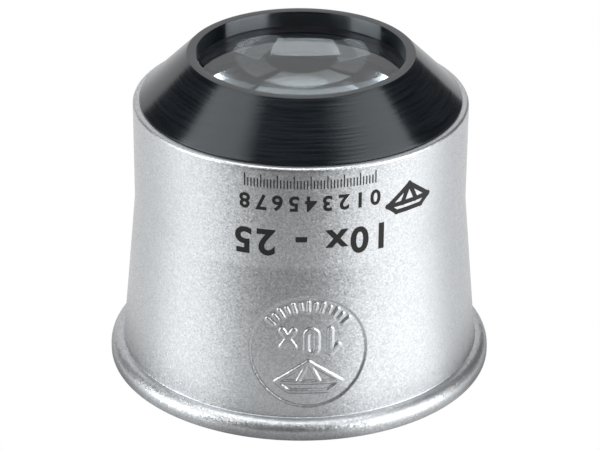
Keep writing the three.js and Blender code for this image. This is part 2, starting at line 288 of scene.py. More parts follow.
def to_strokes(x, y, strokes, width):
    """Distance to the nearest of some strokes with round ends, negative inside them."""
    return np.minimum.reduce([to_segment(x, y, *stroke) for stroke in strokes]) - width / 2


def to_zero(x, y, centre, half_width, half_height, width):
    """Distance to the outline of an upright oblong with round ends."""
    straight = half_height - half_width
    dy = np.maximum(np.abs(y - centre[1]) - straight, 0)
    return np.abs(np.hypot(x - centre[0], dy) - half_width) - width / 2


DIGIT_BASE = -2.1
DIGIT_TOP = 0.15
DIGIT_STROKE = 0.5
ONE_STEM_X = -2.0
ONE_FLAG = 0.7
ZERO_CENTRE_X = -0.28
ZERO_HALF_WIDTH = 0.475
TIMES_LEFT = 1.3
TIMES_RIGHT = 2.4
TIMES_HEIGHT = 1.6
GEM_SIZE = (6.0, 2.9)
GEM_CENTRE = (0.0, 2.4)
GEM_CROWN = 0.3
GEM_TABLE = 0.3
GEM_FACET = 0.17
GEM_STROKE = 0.34
TICKS = 13
TICK_SPREAD = math.radians(50)
TICK_RADIUS = 4.45
TICK_LENGTHS = (0.8, 0.5)
TICK_STROKE = 0.3


def badge_figures(x, y):
    """Distance to the raised figures: 1, 0 and x, a cut gem above them and ticks below them."""
    stem_top = (ONE_STEM_X, DIGIT_TOP)
    flag_end = (ONE_STEM_X - ONE_FLAG, DIGIT_TOP - ONE_FLAG)
    one = [((ONE_STEM_X, DIGIT_BASE), stem_top), (stem_top, flag_end)]
    times_top = DIGIT_BASE + TIMES_HEIGHT
    times = [
        ((TIMES_LEFT, DIGIT_BASE), (TIMES_RIGHT, times_top)),
        ((TIMES_LEFT, times_top), (TIMES_RIGHT, DIGIT_BASE)),
    ]
    zero_centre = (ZERO_CENTRE_X, (DIGIT_BASE + DIGIT_TOP) / 2)
    zero = to_zero(x, y, zero_centre, ZERO_HALF_WIDTH, (DIGIT_TOP - DIGIT_BASE) / 2, DIGIT_STROKE)
    ticks = []
    for k in range(TICKS):
        angle = -TURN / 4 + TICK_SPREAD * (2 * k / (TICKS - 1) - 1)
        c, s = math.cos(angle), math.sin(angle)
        low, high = (TICK_RADIUS + side * TICK_LENGTHS[k % 2] / 2 for side in (-1, 1))
        ticks.append(((low * c, low * s), (high * c, high * s)))
    return np.minimum.reduce([
        to_strokes(x, y, one + times, DIGIT_STROKE),
        zero,
        to_strokes(x, y, gem_strokes(GEM_SIZE, GEM_CENTRE), GEM_STROKE),
        to_strokes(x, y, ticks, TICK_STROKE),
    ])


def gem_strokes(size, centre):
    """Side view of a cut stone: table, girdle, crown facets and culet, as line segments."""
    width, height = size
    cx, cy = centre
    top, girdle, culet = cy + height / 2, cy + height / 2 - GEM_CROWN * height, cy - height / 2
    table, inner = GEM_TABLE * width, GEM_FACET * width
    corners = {s: (cx + s * width / 2, girdle) for s in (-1, 1)}
    strokes = [((cx - table, top), (cx + table, top)), (corners[-1], corners[1])]
    for side in (-1, 1):
        strokes.append(((cx + side * table, top), corners[side]))
        strokes.append((corners[side], (cx, culet)))
        strokes.append(((cx + side * inner, girdle), (cx, culet)))
    return strokes


FLARE_SLOPE = math.atan2(FLARE_FOOT[0] - BARREL_RADIUS, KINK_Z - FLARE_FOOT[1])


def cup_shape(r, z, a):
    """Sinks the badge into the flare and winds the female thread into the bore."""
    turned_by = np.mod(a - BADGE_ANGLE + math.pi, TURN) - math.pi
    x, y = -turned_by * r, (BADGE_Z - z) / math.cos(FLARE_SLOPE)
    inside = 1 - smoothstep(-BADGE_RIM_EDGE, BADGE_RIM_EDGE, np.hypot(x, y) - BADGE_RADIUS)
    clear = smoothstep(-BADGE_EDGE, BADGE_EDGE, badge_figures(x, y))
    outer_skin = r > BARREL_RADIUS
    depth = BADGE_DEPTH * np.where(outer_skin, inside * clear, 0)
    in_bore = (r < CELL_BORE + BORE_LEAD_IN + FIT) & (z > CELL_BORE_BOTTOM)
    span = (CELL_BORE_BOTTOM, CUP_TOP + CELL_PITCH)
    height = thread_height(z, a, CELL_PITCH, span, BORE_THREAD_FADE)
    grooved = np.where(in_bore, np.maximum(r, CELL_BORE + CELL_THREAD_DEPTH * height), r)
    return grooved - depth * math.cos(FLARE_SLOPE), z - depth * math.sin(FLARE_SLOPE)


def badge_steps():
    """Steps round the axis that are fine over the badge and coarse elsewhere."""
    half_span = (BADGE_RADIUS + BADGE_MARGIN) / FLARE_FOOT[0]
    fine = round(2 * half_span / (BADGE_GRID / FLARE_FOOT[0]))
    rest = TURN - 2 * half_span
    coarse = round(rest / COARSE_STEP)
    over_badge = [BADGE_ANGLE - half_span + 2 * half_span * k / fine for k in range(fine)]
    return over_badge + [BADGE_ANGLE + half_span + rest * k / coarse for k in range(coarse)]


def build_cup():
    """The silver cup: bead rim, flare, barrel with its badge, and a threaded bore at the top."""
    inner = BARREL_RADIUS - CUP_WALL
    corners = [
        (RIM_RADIUS, 0, RIM_EDGE),
        (RIM_RADIUS, BEAD_TOP, BEAD_RADIUS),
        (*FLARE_FOOT, FLARE_FOOT_FILLET),
        (BARREL_RADIUS, KINK_Z, KINK_BLEND),
        (BARREL_RADIUS, CUP_TOP, CUP_TOP_EDGE),
        (CELL_BORE + BORE_LEAD_IN, CUP_TOP, CELL_BORE_EDGE),
        (CELL_BORE, CUP_TOP - BORE_LEAD_IN, 0),
        (CELL_BORE, CELL_BORE_BOTTOM, 0),
        (inner, CELL_BORE_BOTTOM - (inner - CELL_BORE), CELL_BORE_FOOT_FILLET),
        (inner, KINK_Z, KINK_BLEND),
        (FLARE_FOOT[0] - CUP_WALL, FLARE_FOOT[1], FLARE_INNER_FILLET),
        (RIM_INNER_RADIUS, 0, RIM_EDGE),
    ]

    def spacing(r, z):
        if r > BARREL_RADIUS and abs(z - BADGE_Z) < BADGE_RADIUS + BADGE_MARGIN:
            return BADGE_GRID
        if r < CELL_BORE + BORE_LEAD_IN and z > CELL_BORE_BOTTOM:
            return CELL_THREAD_GRID
        return PLAIN_GRID

    def inside(r, z):
        half = CUP_WALL / 2
        middles = (RIM_INNER_RADIUS + RIM_EDGE + half, FLARE_FOOT[0] - half, BARREL_RADIUS - half)
        return r < np.interp(z, (0, FLARE_FOOT[1], KINK_Z), middles) and z < CUP_TOP - NEAR

    outline = refined(filleted(corners, CUP_FILLET_STEPS), spacing)
    cup = turned("cup_shell", outline, badge_steps(), cup_shape, second=inside)
    cup.data.materials.append(silver_paint())
    cup.data.materials.append(cup_inside())
    return cup


# ---- Lens cell ----


def mount_shape(r, z, a):
    """Winds the male thread round the cell, and the retaining ring's thread into its tube."""
    on_core = (np.abs(r - CELL_ROOT) < NEAR) & (z < CUP_TOP)
    male = CELL_THREAD_DEPTH * thread_height(z, a, CELL_PITCH, CELL_THREAD_SPAN, CELL_THREAD_FADE)
    bore = ring_bore()
    in_bore = (np.abs(r - bore) < NEAR) & (z < RING_HIGH.z)
    span = (TUBE_BOTTOM, RING_HIGH.z)
    female = RING_THREAD_DEPTH * thread_height(z, a, RING_PITCH, span, RING_THREAD_FADE)
    return r + np.where(on_core, male, 0) + np.where(in_bore, female, 0), z


def ring_bore():
    """Radius of the tube's bore between the grooves of the retaining ring's thread."""
    return RING_RADIUS - RING_THREAD_DEPTH + RING_BORE_PLAY


def build_mount():
    """The black cell: window and cone above, male thread, and the tube that holds the lenses."""
    bore = ring_bore()
    flange = CUP_TOP + FIT
    seat = UPPER_HIGH.z + FIT
    thread_low, thread_high = CELL_THREAD_SPAN
    relief_low = RING_HIGH.z - RING_BORE_RELIEF
    shoulder = thread_low - THREAD_SHOULDER
    corners = [
        (bore + TUBE_CHAMFER, TUBE_BOTTOM, TURNED_EDGE),
        (TUBE_RADIUS - TUBE_CHAMFER, TUBE_BOTTOM, TURNED_EDGE),
        (TUBE_RADIUS, TUBE_BOTTOM + TUBE_CHAMFER, TURNED_EDGE),
        (TUBE_RADIUS, shoulder, SHOULDER_FILLET),
        (THREAD_RELIEF, shoulder, 0),
        (CELL_ROOT, thread_low - THREAD_LEAD_IN, 0),
        (CELL_ROOT, thread_high, 0),
        (THREAD_RELIEF, thread_high + THREAD_RUN_OUT, SOFT_EDGE),
        (THREAD_RELIEF, flange, SOFT_EDGE),
        (CONE_FOOT_RADIUS, flange, FINE_EDGE),
        (CONE_FOOT_RADIUS, flange + CONE_FOOT_EDGE, SOFT_EDGE),
        (CONE_TOP_RADIUS, CELL_TOP, CONE_TOP_FILLET),
        (WINDOW_RADIUS, CELL_TOP, SOFT_EDGE),
        (WINDOW_RADIUS, seat, FINE_EDGE),
        (LENS_RADIUS + FIT, seat, 0),
        (LENS_RADIUS + FIT, RING_HIGH.z, 0),
        (bore + RING_THREAD_DEPTH, RING_HIGH.z, 0),
        (bore + RING_THREAD_DEPTH, relief_low, 0),
        (bore, relief_low, 0),
        (bore, TUBE_BOTTOM + TUBE_CHAMFER, 0),
    ]

    def spacing(r, z):
        on_thread = abs(r - CELL_ROOT) < NEAR or abs(r - bore) < NEAR
        return CORE_THREAD_GRID if on_thread else PLAIN_GRID

    def window(r, z):
        return abs(r - WINDOW_RADIUS) < NEAR and z > seat

    outline = refined(filleted(corners), spacing)
    mount = turned("lens_cell_mount", outline, shape=mount_shape, second=window)
    mount.data.materials.append(black_anodised())
    mount.data.materials.append(window_wall())
    return mount


def build_ring():
    """The retaining ring, with its thread and two spanner slots across its lower face."""
    root = RING_RADIUS - RING_THREAD_DEPTH
    low, high = RING_LOW.z, RING_HIGH.z
    width, depth = RING_SLOT
    corners = [
        (RING_INNER_RADIUS, low, RING_INNER_EDGE),
        (root, low, RING_OUTER_EDGE),
        (root, high, RING_OUTER_EDGE),
        (RING_INNER_RADIUS, high, RING_INNER_EDGE),
    ]
    half = math.asin(width / 2 / (root + RING_INNER_RADIUS) * 2)
    angles = []
    for start in (0, math.pi):
        walls = [start - half, start - half + SLOT_WALL, start + half - SLOT_WALL, start + half]
        middle = [start + half * (2 * k / SLOT_STEPS - 1) for k in range(1, SLOT_STEPS)]
        swing = (math.pi - 2 * half) / RING_SWEEP_STEPS
        sweep = [start + half + swing * k for k in range(1, RING_SWEEP_STEPS)]
        angles += walls[:2] + middle + walls[2:] + sweep
    inset_low, inset_high = RING_THREAD_INSET
    span = (low + inset_low, high - inset_high)

    def shape(r, z, a):
        nearest = np.abs(np.mod(a + math.pi / 2, math.pi) - math.pi / 2)
        in_slot = nearest < half - SLOT_WALL / 2
        lifted = np.where(in_slot, np.maximum(z, low + depth), z)
        on_core = (r > root - NEAR) & ~in_slot
        height = thread_height(z, a, RING_PITCH, span, RING_THREAD_FADE)
        return r + np.where(on_core, RING_THREAD_DEPTH * height, 0), lifted

    def spacing(r, z):
        return RING_THREAD_GRID if r > root - NEAR else PLAIN_GRID

    outline = refined(filleted(corners), spacing)
    ring = turned("lens_retaining_ring", outline, sorted(angles), shape)
    ring.data.materials.append(matt_black())
    return ring


def build_spacer():
    """The ring between the lenses, with fine grooves in its bore against stray light."""
    low, high = SPACER_LOW.z, SPACER_HIGH.z
    pitch, depth = SPACER_GROOVE
    outline = [
        (SPACER_INNER_RADIUS + SPACER_EDGE, low),
        (LENS_RADIUS - SPACER_EDGE, low),
        (LENS_RADIUS, low + SPACER_EDGE),
        (LENS_RADIUS, high - SPACER_EDGE),
        (LENS_RADIUS - SPACER_EDGE, high),
        (SPACER_INNER_RADIUS + SPACER_EDGE, high),
    ]
    grooves = int((high - low - 2 * SPACER_LAND) / pitch)
    first = (low + high) / 2 + grooves * pitch / 2
    for k in range(grooves):
        top = first - k * pitch
        outline.append((SPACER_INNER_RADIUS, top))
        outline.append((SPACER_INNER_RADIUS + depth, top - pitch / 2))
    outline.append((SPACER_INNER_RADIUS, first - grooves * pitch))
    spacer = turned("lens_spacer_ring", outline)
    spacer.data.materials.append(matt_black())
    return spacer


def build_lens(name, flat, vertex, edge_height):
    """A plano-convex lens between the heights of its flat face and its vertex."""
    side = math.copysign(1, vertex - flat)
    edge = flat + side * edge_height
    sag = abs(vertex - edge)
    curve = (LENS_RADIUS ** 2 + sag ** 2) / (2 * sag)
    clear_radius = LENS_RADIUS - LENS_CHAMFER
    outline = [
        (0.0, flat),
        (clear_radius, flat),
        (LENS_RADIUS, flat + side * LENS_CHAMFER),
        (LENS_RADIUS, edge - side * LENS_CHAMFER),
    ]
    for k in range(LENS_STEPS + 1):
        r = clear_radius * (1 - k / LENS_STEPS)
        outline.append((r, vertex - side * (curve - math.sqrt(curve ** 2 - r ** 2))))
    if side < 0:
        outline.reverse()
    lens = turned(name, outline, closed=False, second=lambda r, z: r > clear_radius)
    lens.data.materials.append(optical_glass())
    lens.data.materials.append(ground_glass())
    return lens


# ---- Print on the barrel, as thin ink shapes ----

PRINT_ANGLE = math.radians(-86.5)
INK_THICKNESS = 0.02
INK_GAP = 0.004
INK_GRID = 0.45
INK_SPLITS = 5
INK_WELD = 1e-3
TYPE_SIZE = 1.38
TYPE_CURVE_STEPS = 6


def wrapped(name, shapes, centre_angle, centre_z):
    """Bends flat triangles (x right, y up for the reader) round the barrel as a film of ink.

    The reader holds the loupe with its rim upwards, so the print is upside down on a standing one."""
    work = bmesh.new()
    for outline in shapes:
        verts = [work.verts.new((x, y, 0)) for x, y in outline]
        work.faces.new(verts)
    bmesh.ops.remove_doubles(work, verts=work.verts, dist=INK_WELD)
    bmesh.ops.triangulate(work, faces=work.faces)
    bmesh.ops.dissolve_degenerate(work, edges=work.edges, dist=INK_WELD)
    # A figure's fill can lay a sliver over its neighbour, which would close off the film inside.
    crowded = [edge for edge in work.edges if len(edge.link_faces) > 2]
    overlaps = [min(edge.link_faces, key=lambda face: face.calc_area()) for edge in crowded]
    bmesh.ops.delete(work, geom=overlaps, context="FACES")
    for _ in range(INK_SPLITS):
        long_edges = [e for e in work.edges if abs(e.verts[0].co.x - e.verts[1].co.x) > INK_GRID]
        if not long_edges:
            break
        bmesh.ops.subdivide_edges(work, edges=long_edges, cuts=1)
        bmesh.ops.triangulate(work, faces=work.faces)
    bmesh.ops.recalc_face_normals(work, faces=work.faces)
    if sum(f.normal.z for f in work.faces) < 0:
        bmesh.ops.reverse_faces(work, faces=work.faces)
    skin = bmesh.ops.extrude_face_region(work, geom=work.faces[:])
    for item in skin["geom"]:
        if isinstance(item, bmesh.types.BMVert):
            item.co.z += INK_THICKNESS
    for vert in work.verts:
        x, y, lift = vert.co
        angle = centre_angle - x / BARREL_RADIUS
        radius = BARREL_RADIUS + INK_GAP + lift
        z = centre_z - y
        vert.co = Vector((radius * math.cos(angle), radius * math.sin(angle), z)) * MM
    mesh = bpy.data.meshes.new(name)
    work.to_mesh(mesh)
    work.free()
    piece = finished(name, mesh, INK_SHARP_DEGREES)
    piece.data.materials.append(black_ink())
    return piece


def stroke_outline(start, end, width):
    """A straight stroke with square ends, as a rectangle."""
    a, b = Vector(start), Vector(end)
    along = (b - a).normalized()
    across = Vector((-along.y, along.x)) * width / 2
    tip = along * width / 2
    return [tuple(p) for p in (a - tip - across, b + tip - across, b + tip + across, a - tip + across)]


def lettered(text, height, centre, weight, spacing=1.0):
    """Outlines of a line of figures in Blender's own plain typeface, centred on a point."""
    curve = bpy.data.curves.new("figures", "FONT")
    curve.body = text
    curve.size = height * TYPE_SIZE
    curve.offset = weight
    curve.resolution_u = TYPE_CURVE_STEPS
    curve.space_character = spacing
    carrier = bpy.data.objects.new("figures", curve)
    bpy.context.scene.collection.objects.link(carrier)
    bpy.context.view_layer.update()
    mesh = bpy.data.meshes.new_from_object(carrier)
    points = [v.co.copy() for v in mesh.vertices]
    middle_x = (min(p.x for p in points) + max(p.x for p in points)) / 2
    middle_y = (min(p.y for p in points) + max(p.y for p in points)) / 2
    shift = Vector(centre).to_3d() - Vector((middle_x, middle_y, 0))
    outlines = [[tuple((points[i] + shift)[:2]) for i in face.vertices] for face in mesh.polygons]
    bpy.data.objects.remove(carrier)
    bpy.data.meshes.remove(mesh)
    bpy.data.curves.remove(curve)
    return outlines


SCALE_MARKS = 9
SCALE_STEP = 1.47
SCALE_PARTS = 5
SCALE_TICK_Z = 24.15
SCALE_TICK_LENGTHS = (1.1, 0.7)
SCALE_TICK_STROKE = 0.1
SCALE_FIGURE_Z = 22.65
SCALE_FIGURE_HEIGHT = 1.45
SCALE_FIGURE_WEIGHT = 0.05
POWER_TEXT = "10x - 25"
POWER_Z = 18.75
POWER_HEIGHT = 2.5
POWER_WEIGHT = 0.09
POWER_SPACING = 1.22
PRINT_GEM_SIZE = (4.6, 2.4)
PRINT_GEM_STROKE = 0.42
PRINT_GEM_ANGLE = math.radians(-51.3)
PRINT_GEM_Z = 21.9


def build_print():
    """A scale with fine ticks and a figure at each long one, and larger magnification figures."""
    ticks = []
    figures = []
    long, short = SCALE_TICK_LENGTHS
    for k in range((SCALE_MARKS - 1) * SCALE_PARTS + 1):
        x = (k / SCALE_PARTS - (SCALE_MARKS - 1) / 2) * SCALE_STEP
        main = k % SCALE_PARTS == 0
        ticks.append(stroke_outline((x, 0.0), (x, -long if main else -short), SCALE_TICK_STROKE))
        if main:
            figures += lettered(str(k // SCALE_PARTS), SCALE_FIGURE_HEIGHT, (x, 0), SCALE_FIGURE_WEIGHT)
    power = lettered(POWER_TEXT, POWER_HEIGHT, (0, 0), POWER_WEIGHT, POWER_SPACING)
    gem = [stroke_outline(a, b, PRINT_GEM_STROKE) for a, b in gem_strokes(PRINT_GEM_SIZE, (0, 0))]
    return [
        wrapped("print_ticks", ticks, PRINT_ANGLE, SCALE_TICK_Z),
        wrapped("print_scale", figures, PRINT_ANGLE, SCALE_FIGURE_Z),
        wrapped("print_power", power, PRINT_ANGLE, POWER_Z),
        wrapped("print_gem", gem, PRINT_GEM_ANGLE, PRINT_GEM_Z),
    ]


# ---- Materials ----


class Nodes:
    """A node tree under construction."""

    def __init__(self, tree):
        self.nodes = tree.nodes
        self.links = tree.links
        self.nodes.clear()

    def add(self, kind, inputs=None, **settings):
        node = self.nodes.new("ShaderNode" + kind)
        for key, value in settings.items():
            setattr(node, key, value)
        for key, value in (inputs or {}).items():
            self.put(node.inputs[key], value)
        return node

    def put(self, socket, value):
        if isinstance(value, bpy.types.NodeSocket):
            self.links.new(value, socket)
        else:
            socket.default_value = value

    def maths(self, operation, a, b=0.0):
        node = self.add("Math", {0: a, 1: b}, operation=operation)
        return node.outputs[0]


class Shader(Nodes):
    """A node material under construction."""

    def __init__(self, name):
        self.material = bpy.data.materials.new(name)
        self.material.use_nodes = True
        super().__init__(self.material.node_tree)

    def surface(self, shader):
        self.add("OutputMaterial", {"Surface": shader})
        return self.material


def scaled_position(s, scale):
    coords = s.add("TexCoord").outputs["Object"]
    return s.add("Mapping", {"Vector": coords, "Scale": scale}).outputs[0]


def tinted(s, value, tint):
    grey = s.add("CombineColor", {0: value, 1: value, 2: value}).outputs[0]
    mix = s.add("Mix", {"Factor": 1.0, 6: grey, 7: (*tint, 1)}, data_type="RGBA", blend_type="MULTIPLY")
    return mix.outputs[2]


def mapped(s, value, source, target=(0.0, 1.0), **settings):
    """A value mapped from one range to another, and held at its ends."""
    ranges = {"From Min": source[0], "From Max": source[1], "To Min": target[0], "To Max": target[1]}
    return s.add("MapRange", {"Value": value, **ranges}, **settings).outputs[0]


def round_axis(s):
    return s.add("Tangent", direction_type="RADIAL", axis="Z").outputs[0]


def grainy(name, colour, roughness, grain, strength, depth, detail=2.0, specular=0.5):
    """A dull surface with a fine grain, of a given fineness along X, Y and Z."""
    s = Shader(name)
    noise = s.add("TexNoise", {"Vector": scaled_position(s, grain), "Scale": 1.0, "Detail": detail})
    bump = s.add("Bump", {"Height": noise.outputs[0], "Strength": strength, "Distance": depth})
    shade = s.add("BsdfPrincipled", {
        "Base Color": (*colour, 1),
        "Roughness": roughness,
        "Specular IOR Level": specular,
        "Normal": bump.outputs[0],
    })
    return s.surface(shade.outputs[0])


FLAKE_FINENESS = 8000.0
FLAKE_TILT = 0.14
FLAKE_TONES = (0.45, 0.66)
CLOUD_FINENESS = 350.0
PAINT_TINT = (0.97, 1.0, 1.03)
PAINT_ROUGHNESS = (0.37, 0.40)
TOOL_LINES = (220.0, 220.0, 3600.0)
LINE_RANGE = (0.3, 0.7)
ANODISED_TINT = (0.75, 1.0, 1.3)
ANODISED_GLOSS_TINT = (0.93, 1.0, 1.05, 1)
CONE_ROUGHNESS = (0.168, 0.21)
CONE_TONE_RANGE = (0.35, 0.65)
CONE_TONES = (0.004, 0.010)
CONE_LINE_DEPTH = 1.2e-5
WALL_ROUGHNESS = (0.23, 0.24)
DUST_RANGE = (0.62, 0.8)
DUST_ROUGHNESS = (0.0, 0.015)
INK_TONES = (0.012, 0.03)


@cache
def silver_paint():
    """Metallic paint: each flake has a tone and a small tilt of its own."""
    s = Shader("silver_flake_paint")
    place = s.add("TexCoord").outputs["Object"]
    flakes = s.add("TexVoronoi", {"Vector": place, "Scale": FLAKE_FINENESS}, feature="F1")
    tilt = s.add("VectorMath", {0: flakes.outputs["Color"], 1: (0.5, 0.5, 0.5)}, operation="SUBTRACT")
    tilt = s.add("VectorMath", {0: tilt.outputs[0], "Scale": FLAKE_TILT}, operation="SCALE")
    normal = s.add("NewGeometry").outputs["Normal"]
    leaning = s.add("VectorMath", {0: normal, 1: tilt.outputs[0]}, operation="ADD")
    leaning = s.add("VectorMath", {0: leaning.outputs[0]}, operation="NORMALIZE")
    tone = mapped(s, flakes.outputs["Color"], (0, 1), FLAKE_TONES)
    cloud = s.add("TexNoise", {"Vector": place, "Scale": CLOUD_FINENESS, "Detail": 3.0})
    paint = s.add("BsdfPrincipled", {
        "Base Color": tinted(s, tone, PAINT_TINT),
        "Metallic": 1.0,
        "Roughness": mapped(s, cloud.outputs[0], (0, 1), PAINT_ROUGHNESS),
        "Normal": leaning.outputs[0],
    })
    return s.surface(paint.outputs[0])


@cache
def cup_inside():
    return grainy(
        "cup_inside_black", colour=(0.02, 0.02, 0.021), roughness=0.6,
        grain=(4000, 4000, 4000), strength=0.15, depth=2e-5,
    )


@cache
def black_anodised():
    """Turned lines run round the axis, so a lamp's reflection is sharp sideways and drawn out up and down."""
    s = Shader("black_anodised_turned")
    place = s.add("TexCoord").outputs["Object"]
    x, y, z = s.add("SeparateXYZ", {0: place}).outputs
    flat = s.add("CombineXYZ", {0: x, 1: y})
    radius = s.add("VectorMath", {0: flat.outputs[0]}, operation="LENGTH").outputs["Value"]
    across = s.maths("SUBTRACT", z, radius)
    streaks = s.add("CombineXYZ", {
        axis: s.maths("MULTIPLY", value, fineness)
        for axis, (value, fineness) in enumerate(zip((x, y, across), TOOL_LINES))
    })
    lines = s.add("TexNoise", {"Vector": streaks.outputs[0], "Scale": 1.0, "Detail": 2.0}).outputs[0]
    bump = s.add("Bump", {"Height": lines, "Strength": 1.0, "Distance": CONE_LINE_DEPTH})
    tone = mapped(s, lines, CONE_TONE_RANGE, CONE_TONES)
    shade = s.add("BsdfPrincipled", {
        "Base Color": tinted(s, tone, ANODISED_TINT),
        "IOR": 1.58,
        "Specular Tint": ANODISED_GLOSS_TINT,
        "Roughness": mapped(s, lines, LINE_RANGE, CONE_ROUGHNESS),
        "Anisotropic": 0.8,
        "Anisotropic Rotation": 0.25,
        "Tangent": round_axis(s),
        "Normal": bump.outputs[0],
    })
    return s.surface(shade.outputs[0])


@cache
def window_wall():
    """The bored wall round the window: coarser tool lines draw a reflection out to the wall's full height."""
    s = Shader("black_anodised_bored")
    lines = s.add("TexNoise", {"Vector": scaled_position(s, TOOL_LINES), "Scale": 1.0, "Detail": 2.0})
    body = s.add("BsdfDiffuse", {"Color": (0.002, 0.003, 0.004, 1)})
    gloss = s.add("BsdfAnisotropic", {
        "Color": ANODISED_GLOSS_TINT,
        "Roughness": mapped(s, lines.outputs[0], LINE_RANGE, WALL_ROUGHNESS),
        "Anisotropy": 0.82,
        "Tangent": round_axis(s),
    })
    coat = s.add("Fresnel", {"IOR": 2.1})
    mix = s.add("MixShader", {0: coat.outputs[0], 1: body.outputs[0], 2: gloss.outputs[0]})
    return s.surface(mix.outputs[0])


@cache
def matt_black():
    return grainy(
        "matt_black_anodised", colour=(0.006, 0.006, 0.007), roughness=0.55,
        grain=(3000, 3000, 9000), strength=0.2, depth=1e-5, detail=3.0, specular=0.25,
    )


@cache
def optical_glass():
    """Clear glass; light that only looks for a lamp passes straight through it."""
    s = Shader("optical_glass")
    dust = s.add("TexNoise", {"Vector": scaled_position(s, (900, 900, 900)), "Scale": 1.0, "Detail": 2.0})
    glass = s.add("BsdfGlass", {
        "Color": (0.945, 0.973, 0.99, 1),
        "Roughness": mapped(s, dust.outputs[0], DUST_RANGE, DUST_ROUGHNESS),
        "IOR": 1.52,
    })
    clear = s.add("BsdfTransparent", {"Color": (0.9, 0.92, 0.91, 1)})
    path = s.add("LightPath")
    mix = s.add("MixShader", {0: path.outputs["Is Shadow Ray"], 1: glass.outputs[0], 2: clear.outputs[0]})
    return s.surface(mix.outputs[0])


@cache
def ground_glass():
    return grainy(
        "ground_lens_edge", colour=(0.004, 0.004, 0.005), roughness=0.5,
        grain=(5000, 5000, 5000), strength=0.3, depth=1e-5, specular=0.15,
    )


@cache
def black_ink():
    s = Shader("black_ink")
    grain = s.add("TexNoise", {"Vector": scaled_position(s, (6000, 6000, 6000)), "Scale": 1.0})
    shade = s.add("BsdfPrincipled", {
        "Base Color": mapped(s, grain.outputs[0], (0, 1), INK_TONES),
        "Roughness": 0.5,
        "Specular IOR Level": 0.2,
    })
    return s.surface(shade.outputs[0])


# ---- Build the pieces ----


def register(piece, body, node=None):
    """Puts a piece on its body, in place of its CAD solid where it has one."""
    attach(piece, body)
    if node:
        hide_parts(node)


cup = build_cup()
register(cup, "cup", "housing")
for mark in build_print():
    register(mark, "cup")
mount = build_mount()
register(mount, "lens_cell", "lens_mount")
ring = build_ring()
register(ring, "lens_cell", "retaining_ring")
upper_lens = build_lens("upper_lens_glass", UPPER_HIGH.z, UPPER_LOW.z, UPPER_EDGE)
register(upper_lens, "lens_stack", "upper_lens")
lower_lens = build_lens("lower_lens_glass", LOWER_LOW.z, LOWER_HIGH.z, LOWER_EDGE)
register(lower_lens, "lens_stack", "lower_lens")
spacer = build_spacer()
register(spacer, "lens_stack", "spacer_ring")

# ---- Stage: floor, surroundings, lamps and camera ----
# Lengths are in metres, and azimuths in degrees from the front, -Y, towards +X. A row of four values is
# a smooth hump: where it starts, is full, starts to fall and ends.

FLOOR_SIZE = 1.6
FLOOR_Z = -2e-5
# Painted shade on the floor under the cup, with a painted spot of light from the lenses at its middle, as
# radii in metres.
PAINTED_CUP_SHADE = (0.0155, 0.0175)
PAINTED_LENS_SPOT = (0.010, 0.009)
PAINTED_LENS_SPOT_LIGHT = 0.07
# A painted contact shadow on the floor round the rim: darkest at the first radius and gone by the second.
PAINTED_CONTACT_SHADOW = (0.018, 0.025)
PAINTED_CONTACT_SHADOW_LEVEL = 0.3
# Painted glows on the floor for the barrel to mirror: fading towards the camera, and brighter towards each
# side lamp.
FLOOR_FADE = (-0.085, -0.018)
FLOOR_LIGHT = (0.1, 0.88)
RIGHT_GLOW = (14, 44, 86, 118)
RIGHT_GLOW_LIGHT = 1.0
LEFT_GLOW = (-118, -82, -62, -30)
LEFT_GLOW_LIGHT = 0.8
# The backdrop and its wings: degrees from the back, +Y, and the height of a direction of length 1. The
# wings, and more of the backdrop, light only what is seen through glass.
BACKDROP = (-43, -40, 27, 30)
BACKDROP_HEIGHT = (-0.2, -0.1, 0.80, 0.86)
BACKDROP_LIGHT = 0.78
BACKDROP_IN_GLASS = 1.4
WINGS = ((-85, -82, -50, -47), (36, 39, 82, 85))
WINGS_HEIGHT = (0.3, 0.34, 0.82, 0.86)
ROOM_LIGHT = 0.045
LEFT_LAMPS = -76
RIGHT_LAMPS = 64
LOW_LAMPS = 20
HIGH_LAMPS = 49
RIM_LAMP = 74
OVERHEAD = 90
SIDE_DISTANCE = 0.65
TOP_DISTANCE = 0.5


def between(s, value, span):
    """A smooth hump: 0 outside the outer two of the four values in span, 1 between its inner two."""
    low, rise, fall, high = span
    up = mapped(s, value, (low, rise), interpolation_type="SMOOTHSTEP")
    down = mapped(s, value, (fall, high), (1.0, 0.0), interpolation_type="SMOOTHSTEP")
    return s.maths("MULTIPLY", up, down)


